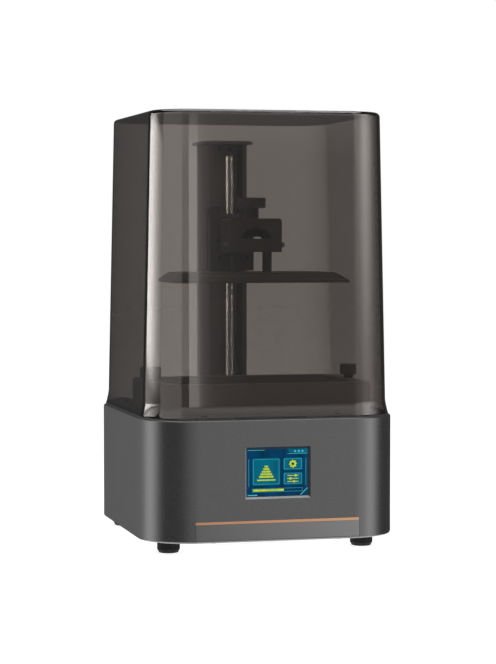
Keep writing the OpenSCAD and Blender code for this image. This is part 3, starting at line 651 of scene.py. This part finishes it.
hoodShape = {
    "cornerX": 68.5 * mm, "cornerY": 75.5 * mm,         # centres of the rounded corners
    "foot": 118.5 * mm, "top": 384 * mm, "wall": 2.5 * mm,
    "rim": 44.0 * mm, "lip": 1.0 * mm, "rimBevel": 0.45 * mm, "rimRound": 0.12 * mm,
    # below flareTop the wall leans outwards, by this power of the way down
    "flareTop": 131 * mm, "flareOffset": 41.275 * mm, "flareInset": 0.4 * mm, "flareCurve": 1.3,
    "crown": 35.8 * mm, "crownRadius": 4.0 * mm,
    "roofEdge": 20 * mm,
    "cornerSteps": 40, "flareSteps": 14, "sideSteps": 6, "crownSteps": (10, 6),
}


def makeHood(s):
    top, wall, radius, steps = s["top"], s["wall"], s["crownRadius"], s["flareSteps"]
    crownCentre = (s["crown"] - radius, top - radius)
    shoulder, waist = (s["crown"], top - radius), (s["flareOffset"], s["flareTop"])
    low = s["foot"] + s["lip"]
    lean = s["rim"] - s["flareOffset"] - s["flareInset"]
    flare = [(s["flareOffset"] + lean * (1 - i / steps) ** s["flareCurve"],
              low + (s["flareTop"] - low) * i / steps) for i in range(steps + 1)]
    bevel, slight = s["rimBevel"], s["rimRound"]
    outside = [(s["roofEdge"], top)] + arcPoints(*crownCentre, radius, 90, 0, s["crownSteps"][0])
    outside += betweenPoints(shoulder, waist, s["sideSteps"]) + list(reversed(flare))
    outside += [(s["rim"], s["foot"] + bevel), (s["rim"] - slight, s["foot"] + slight), (s["rim"] - bevel, s["foot"])]
    inside = [(s["rim"] - wall - s["lip"], s["foot"])]
    inside += [(x - wall - s["flareInset"] * (1 - i / steps), z) for i, (x, z) in enumerate(flare)][2:]
    inside += [(x - wall, z) for x, z in betweenPoints(waist, shoulder, s["sideSteps"])]
    inside += arcPoints(*crownCentre, radius - wall, 0, 90, s["crownSteps"][1]) + [(s["roofEdge"], top - wall)]
    bm = bmesh.new()
    sweepRound(bm, outside + inside, (s["cornerX"], s["cornerY"]), s["cornerSteps"])
    for level in (top, top - wall):
        closeRim(bm, level)
    bmesh.ops.recalc_face_normals(bm, faces=bm.faces)
    hood = newPiece("smokedHood", bm, "hood", "smokedAcrylic", ("hood_shell",), 40)
    hood.visible_shadow = False     # light reaches what stands under it


makeHood(hoodShape)
print("hood made")

# solids whose shape is kept: the name of the piece that stands for each, and how wide its edges are broken (mm)
dressed = {
    "top_deck": ("deckPlate", 0.3),
    "rubber_feet": ("feet", 0.0),
    "z_column": ("columnProfile", 0.4),
    "column_cap": ("columnCap", 0.5),
    "column_foot": ("columnFoot", 0.5),
    "carriage": ("carriageBlock", 0.5),
    "platform_arm": ("armNeck", 0.5),
    "clamp_block": ("clampBlock", 0.6),
    "platform_mount": ("mountBar", 0.5),
    "platform_posts": ("platformPosts", 0.2),
    "build_platform": ("buildPlatform", 0.5),
    "vat_frame": ("vatTray", 0.8),
    "power_rocker": ("rockerCap", 0.4),
    "switch_housing": ("switchHousing", 0.3),
    "power_inlet": ("powerInlet", 0.2),
    "guide_block": ("guideBlock", 0.4),
    "lead_nut": ("leadNut", 0.2),
    "limit_sensor": ("limitSensor", 0.2),
    "levelling_ball": ("levellingBall", 0.3),
    "clamp_knob": ("clampKnob", 0.0),
    "vat_knob_left": ("vatKnobLeft", 0.0),
    "vat_knob_right": ("vatKnobRight", 0.0),
    "base_shell": ("baseHousing", 0.0),
    "plate_screws": ("plateScrews", 0.0),
    "strip_plate": ("stripPlate", 0.45),
    "guide_rail": ("guideRail", 0.5),
}
dressing = {"merge": 0.004 * mm, "flat": math.radians(0.5), "sharp": math.radians(38)}


def dressNode(node, name, width, values):
    bm = bmesh.new()
    bm.from_mesh(nodes[node].data)
    bmesh.ops.remove_doubles(bm, verts=bm.verts, dist=values["merge"])
    bmesh.ops.dissolve_limit(bm, angle_limit=values["flat"], verts=bm.verts, edges=bm.edges)
    if width:
        breakEdges(bm, width, values["sharp"])
    return newPiece(name, bm, nodes[node]["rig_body"], solidFinish[node], (node,))


pieces = {name: dressNode(node, name, width * mm, dressing) for node, (name, width) in dressed.items()}


def paintFaces(piece, finishName, chosen):
    piece.data.materials.append(finishes[finishName])
    for face in piece.data.polygons:
        if chosen(face):
            face.material_index = 1


# the base's window: how near its faces lie to the middle of the screen, and how far the bevels lean that get a
# painted highlight
windowBevels = {"reach": 32 * mm, "front": -100 * mm, "centreZ": 71.5 * mm, "rise": 25 * mm, "lean": (0.3, 0.9)}
edgeLean = {"strip": 0.3, "rail": 0.25}     # how far a face's normal turns: on the strip, the faces that get a painted highlight; on the rail, the chamfers of ground steel


def isHighlightedWindowBevel(face, s=windowBevels):
    x, y, z = face.center
    atWindow = abs(x) < s["reach"] and y < s["front"] and abs(z - s["centreZ"]) < s["rise"]
    flattest, steepest = s["lean"]
    leans = flattest < -face.normal.y < steepest
    return atWindow and leans and (face.normal.x > flattest or face.normal.z > flattest)


# painted highlight: the window's left and bottom bevels are painted light grey as if lit, while its right and top
# bevels keep the case's paint
paintFaces(pieces["baseHousing"], "paintedBevelHighlight", isHighlightedWindowBevel)
# painted highlight: the strip's right-end bevel is painted light grey as if lit, while its left end stays dark
paintFaces(pieces["stripPlate"], "paintedBevelHighlight",
           lambda face: min(face.normal.x, -face.normal.y) > edgeLean["strip"])
paintFaces(pieces["guideRail"], "groundSteel",
           lambda face: min(abs(face.normal.x), abs(face.normal.y)) > edgeLean["rail"])

screwHeads = {"seat": 12 * mm, "height": 0.3}   # the bottom plate's screws have low heads
for vertex in pieces["plateScrews"].data.vertices:
    if vertex.co.z < screwHeads["seat"]:
        vertex.co.z = screwHeads["seat"] + (vertex.co.z - screwHeads["seat"]) * screwHeads["height"]
print("edges broken on", len(dressed), "solids")

screwShape = {
    "y": 52 * mm, "bottom": 111 * mm, "top": 350 * mm,
    "pitch": 2 * mm, "lead": 8 * mm, "steps": 28,
    "spareTurns": 3,        # drawn past the ends, then cut off
    "root": 3.15 * mm, "outer": 4.0 * mm,
    "rootShare": (0.0, 0.34), "outerShare": (0.5, 0.84),    # where in a pitch the groove and the ridge are flat
    "shaft": 2.5 * mm, "shaftBottom": 81 * mm, "shaftInside": 0.1 * mm, "shaftSides": 32,
}


def makeLeadScrew(s):
    bm = bmesh.new()
    pitch, bottom, top = s["pitch"], s["bottom"], s["top"]
    profile = [(s["root"], share) for share in s["rootShare"]] + [(s["outer"], share) for share in s["outerShare"]]
    count = int((top - bottom + s["lead"]) / pitch) + s["spareTurns"]
    line = []
    for turn in range(count):
        base = bottom - s["lead"] - pitch + turn * pitch
        line += [bm.verts.new((radius, s["y"], base + pitch * share)) for radius, share in profile]
    edges = [bm.edges.new(pair) for pair in zip(line, line[1:])]
    bmesh.ops.spin(bm, geom=line + edges, cent=(0, s["y"], 0), axis=(0, 0, 1), angle=2 * math.pi,
                   dvec=(0, 0, s["lead"] / s["steps"]), steps=s["steps"], use_merge=False)
    bmesh.ops.remove_doubles(bm, verts=bm.verts, dist=0.01 * mm)
    for level, up in ((bottom, -1), (top, 1)):
        bmesh.ops.bisect_plane(bm, geom=bm.verts[:] + bm.edges[:] + bm.faces[:], dist=0.001 * mm,
                               plane_co=(0, 0, level), plane_no=(0, 0, up), clear_outer=True)
        closeRim(bm, level)
    shaftTop = bottom + s["shaftInside"]
    middle = Matrix.Translation((0, s["y"], (shaftTop + s["shaftBottom"]) / 2))
    bmesh.ops.create_cone(bm, cap_ends=True, segments=s["shaftSides"], radius1=s["shaft"], radius2=s["shaft"],
                          depth=shaftTop - s["shaftBottom"], matrix=middle)
    bmesh.ops.recalc_face_normals(bm, faces=bm.faces)
    newPiece("leadScrewThread", bm, "drive_screw", "screwSteel", ("lead_screw",), 25, False)


makeLeadScrew(screwShape)
print("lead screw made")

# The display's glass, and the picture on it. The picture is drawn in millimetres on a field of 57.6 by 43.2 round
# the screen's centre, then scaled. Bars and tiles are given by two corners, the rest by centre and radius.
screenShape = {
    "centreZ": 71.5 * mm, "front": -119.0 * mm, "width": 55.0 * mm, "height": 41.4 * mm, "depth": 1.6 * mm,
    "edge": 0.35 * mm, "bevel": 0.12 * mm,
    "scale": 0.955 * mm,
    "layer": 0.05 * mm,     # how far each layer of the picture stands before the one below
    "line": 0.22,
    "tab": [(28.2, 20.9), (9.2, 20.9), (12.2, 16.9), (28.2, 16.9)],
    "underTab": (9.2, 16.5, 28.2, 16.85),
    "dots": [(16.5, 18.9), (20.0, 18.9), (23.5, 18.9)], "dotRadius": 0.9,
    "accents": [(-27.9, 20.2, -12.0, 20.6), (-27.9, -20.8, -19.0, -19.9), (-26.9, -12.5, -26.6, 12.5),
                (26.6, -12.5, 26.9, 12.5)],
    "slash": [(21.2, -20.9), (22.2, -20.9), (28.2, -15.4), (28.2, -14.2)],
    "tiles": [(-23.5, -11.5, 2.5, 13.0), (5.5, 1.8, 23.5, 13.0), (5.5, -11.5, 23.5, -0.3)],
    "tileCut": 1.2, "tileMargin": 0.9,
    # a print that grows in layers, on its bed
    "layers": 5, "layerCentre": -10.5, "layerHalf": 6.6, "layerStep": 1.25, "layerFoot": -4.6, "layerRise": 2.3,
    "layerHeight": 1.7, "bed": (-19.0, -7.4, -2.0, -6.2),
    "wheel": (14.5, 7.4, 3.7, 8), "hub": 1.3,
    # three sliders: height and place of the knob
    "sliders": [(-3.2, 17.0), (-5.9, 12.2), (-8.6, 15.6)], "sliderEnds": (9.2, 19.8), "sliderHalf": 0.35,
    "sliderKnob": 1.15,
    "progress": (-23.5, -17.6, 23.5, -14.4), "progressDone": (-22.8, -16.9, 6.0, -15.1),
}


def flatShape(bm, points, level, index):
    # a thin plate of the picture
    s = screenShape
    before = set(bm.faces)
    y = s["front"] - (level - 1) * s["layer"]
    face = bm.faces.new([bm.verts.new((x * s["scale"], y, s["centreZ"] + z * s["scale"])) for x, z in points])
    raised = bmesh.ops.extrude_face_region(bm, geom=[face], use_keep_orig=True)["geom"]
    bmesh.ops.translate(bm, verts=[g for g in raised if isinstance(g, bmesh.types.BMVert)], vec=(0, -s["layer"], 0))
    for made in bm.faces:
        if made not in before:
            made.material_index = index


def barPoints(x0, z0, x1, z1, cut=0.0):
    if not cut:
        return [(x0, z0), (x1, z0), (x1, z1), (x0, z1)]
    return [(x0 + cut, z0), (x1 - cut, z0), (x1, z0 + cut), (x1, z1 - cut), (x1 - cut, z1), (x0 + cut, z1),
            (x0, z1 - cut), (x0, z0 + cut)]


def frameLines(bm, x0, z0, x1, z1, width, level, index):
    for corners in ((x0, z0, x1, z0 + width), (x0, z1 - width, x1, z1),
                    (x0, z0 + width, x0 + width, z1 - width), (x1 - width, z0 + width, x1, z1 - width)):
        flatShape(bm, barPoints(*corners), level, index)


def wheelPoints(x, z, radius, teeth, root=0.76):
    points = []
    for i in range(teeth * 4):
        angle = 2 * math.pi * i / (teeth * 4)
        reach = radius if i % 4 in (0, 1) else radius * root
        points.append((x + reach * math.cos(angle), z + reach * math.sin(angle)))
    return points


def roundPoints(x, z, radius, count=20):
    return arcPoints(x, z, radius, 0, 360, count)[:-1]


def makeDisplayGlass(s):
    bm = bmesh.new()
    place = Matrix.Translation((0, s["front"] + s["depth"] / 2, s["centreZ"]))
    bmesh.ops.create_cube(bm, size=1, matrix=place @ Matrix.Diagonal((s["width"], s["depth"], s["height"], 1)))
    front = [f for f in bm.faces if f.normal.y < -0.9]
    bmesh.ops.inset_region(bm, faces=front, thickness=s["edge"], depth=0)
    front[0].material_index = 1
    breakEdges(bm, s["bevel"], 1)
    newPiece("displayGlass", bm, "base", ["glossBlack", "pictureBlue"], ("touch_panel",))


def makeDisplayPicture(s):
    cyan, teal, lime, blue = range(4)
    bm = bmesh.new()
    flatShape(bm, s["tab"], 1, teal)
    flatShape(bm, barPoints(*s["underTab"]), 2, cyan)
    for x, z in s["dots"]:
        flatShape(bm, roundPoints(x, z, s["dotRadius"], 14), 2, cyan)
    for corners in s["accents"]:
        flatShape(bm, barPoints(*corners), 1, cyan)
    flatShape(bm, s["slash"], 1, cyan)
    margin = s["tileMargin"]
    for x0, z0, x1, z1 in s["tiles"]:
        flatShape(bm, barPoints(x0, z0, x1, z1, s["tileCut"]), 1, teal)
        frameLines(bm, x0 + margin, z0 + margin, x1 - margin, z1 - margin, s["line"], 2, cyan)
    for step in range(s["layers"]):
        half, low = s["layerHalf"] - s["layerStep"] * step, s["layerFoot"] + s["layerRise"] * step
        middle = s["layerCentre"]
        flatShape(bm, barPoints(middle - half, low, middle + half, low + s["layerHeight"]), 3, lime)
    flatShape(bm, barPoints(*s["bed"]), 3, lime)
    flatShape(bm, wheelPoints(*s["wheel"]), 3, lime)
    flatShape(bm, roundPoints(*s["wheel"][:2], s["hub"]), 4, blue)
    left, right = s["sliderEnds"]
    for row, knob in s["sliders"]:
        flatShape(bm, barPoints(left, row - s["sliderHalf"], right, row + s["sliderHalf"]), 3, lime)
        flatShape(bm, roundPoints(knob, row, s["sliderKnob"], 16), 4, lime)
    frameLines(bm, *s["progress"], s["line"], 1, cyan)
    flatShape(bm, barPoints(*s["progressDone"]), 1, lime)
    bmesh.ops.recalc_face_normals(bm, faces=bm.faces)
    inks = ["pictureCyan", "pictureTeal", "pictureLime", "pictureBlue"]
    newPiece("displayPicture", bm, "base", inks, (), weighted=False)


makeDisplayGlass(screenShape)
makeDisplayPicture(screenShape)
print("display made")

# which soft boxes each object reflects
servedBy = {"smokedHood": "hood", "leadScrewThread": "bright", "guideRail": "bright"}
for item in bpy.context.scene.collection.all_objects:
    if item.type == "MESH":
        boxReceivers[servedBy.get(item.name, "case")].objects.link(item)
